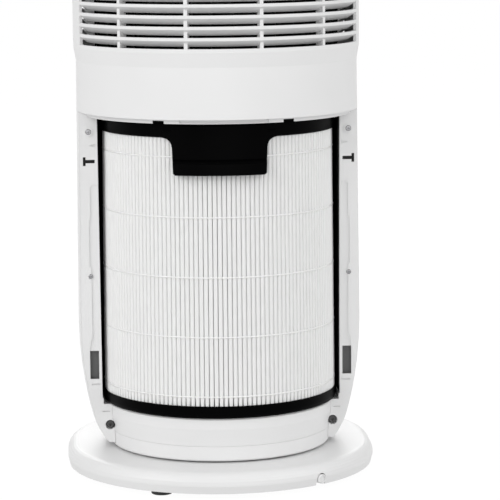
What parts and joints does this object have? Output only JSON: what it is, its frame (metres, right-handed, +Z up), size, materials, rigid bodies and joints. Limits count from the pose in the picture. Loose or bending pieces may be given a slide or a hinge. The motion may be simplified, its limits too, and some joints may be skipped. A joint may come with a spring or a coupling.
{
  "type": "tower air purifier",
  "caption": "Round tower air purifier with its rear cover off, showing the pleated cylinder filter in its bay, louvred outlets above and a low oval swivel base.",
  "frame": {"origin": "centre of the outline of the base, on the surface it stands on; the tower's axis is 12 mm behind it, at y = -0.012 m", "axes": "+Z up along the tower, -Y towards the service side where the filter slides out, +X to the right when looking at the service side"},
  "size_m": [0.255, 0.279, 0.58],
  "materials": {
    "white_shell": "fine satin moulded ABS",
    "white_button": "satin",
    "grey_plastic": "matte moulded plastic",
    "acetal": "low-friction moulded acetal",
    "steel": "zinc plated",
    "black_steel": "black oxide",
    "black_plastic": "fine-textured moulded plastic",
    "filter_paper": "pleated glass-fibre paper",
    "hot_glue": "hot-melt bead",
    "carbon": "carbon-loaded felt",
    "foam": "closed-cell foam",
    "foot_rubber": "matte rubber",
    "circuit_board": "solder mask",
    "gloss_panel": "gloss",
    "smoked_lens": "smoked, gloss"
  },
  "bodies": {
    "base": {"base_cover": "white_shell", "base_plate": "grey_plastic", "base_screws": "steel", "rubber_feet": "foot_rubber", "cable_gland": "white_shell", "swivel_spigot": "acetal", "sun_gear": "acetal", "bearing_ring": "acetal", "retaining_ring": "acetal"},
    "pinion": {"pinion_gear": "acetal"},
    "filter": {"filter_media": "filter_paper", "glue_beads": "hot_glue", "filter_top_ring": "black_plastic", "pull_tab": "black_plastic", "filter_bottom_ring": "black_plastic", "carbon_layer": "carbon", "core_mesh": "black_plastic"},
    "impeller": {"impeller": "black_plastic", "motor_shaft": "steel"},
    "power_button": {"power_button": "white_button"},
    "speed_button": {"speed_button": "white_button"},
    "swing_button": {"swing_button": "white_button"},
    "timer_button": {"timer_button": "white_button"},
    "tower": {"turntable": "grey_plastic", "swivel_skirt": "white_shell", "collar": "white_shell", "oscillation_motor": "steel", "front_shell": "white_shell", "rear_shell": "white_shell", "bay_frame": "white_shell", "rear_grille": "white_shell", "front_grille": "white_shell", "bay_liner": "black_plastic", "cover_catches": "black_plastic", "rail_screws": "steel", "collar_screws": "black_steel", "bay_seal": "foam", "fan_deck": "white_shell", "fan_motor": "steel", "motor_bracket": "steel", "fan_diffuser": "black_plastic", "electronics_deck": "grey_plastic", "power_board": "circuit_board", "air_sensor": "black_plastic", "control_board": "circuit_board", "top_cap": "white_shell", "control_panel": "gloss_panel", "display_lens": "smoked_lens"}
  },
  "joints": [
    {"name": "tower_swing", "type": "hinge", "parent": "base", "child": "tower", "pos_m": [0, -0.012, 0.024], "axis": [0, 0, 1], "range_deg": [-40, 40]},
    {"name": "pinion_spin", "type": "hinge", "parent": "tower", "child": "pinion", "pos_m": [0.02048, 0.03152, 0.043], "axis": [0, 0, 1], "range_deg": [-150, 150]},
    {"name": "filter_slide", "type": "slide", "parent": "tower", "child": "filter", "axis": [0, -1, 0], "range_m": [0, 0.22]},
    {"name": "impeller_spin", "type": "hinge", "parent": "tower", "child": "impeller", "pos_m": [0, -0.012, 0.39], "axis": [0, 0, 1], "continuous": true},
    {"name": "power_button_press", "type": "slide", "parent": "tower", "child": "power_button", "axis": [0, 0, -1], "range_m": [0, 0.0012], "stiffness_N_per_m": 400, "springref_m": -0.0006},
    {"name": "speed_button_press", "type": "slide", "parent": "tower", "child": "speed_button", "axis": [0, 0, -1], "range_m": [0, 0.0012], "stiffness_N_per_m": 400, "springref_m": -0.0006},
    {"name": "swing_button_press", "type": "slide", "parent": "tower", "child": "swing_button", "axis": [0, 0, -1], "range_m": [0, 0.0012], "stiffness_N_per_m": 400, "springref_m": -0.0006},
    {"name": "timer_button_press", "type": "slide", "parent": "tower", "child": "timer_button", "axis": [0, 0, -1], "range_m": [0, 0.0012], "stiffness_N_per_m": 400, "springref_m": -0.0006}
  ],
  "couplings": [
    {"joint": "pinion_spin", "follows": "tower_swing", "ratio": 3.5714}
  ]
}
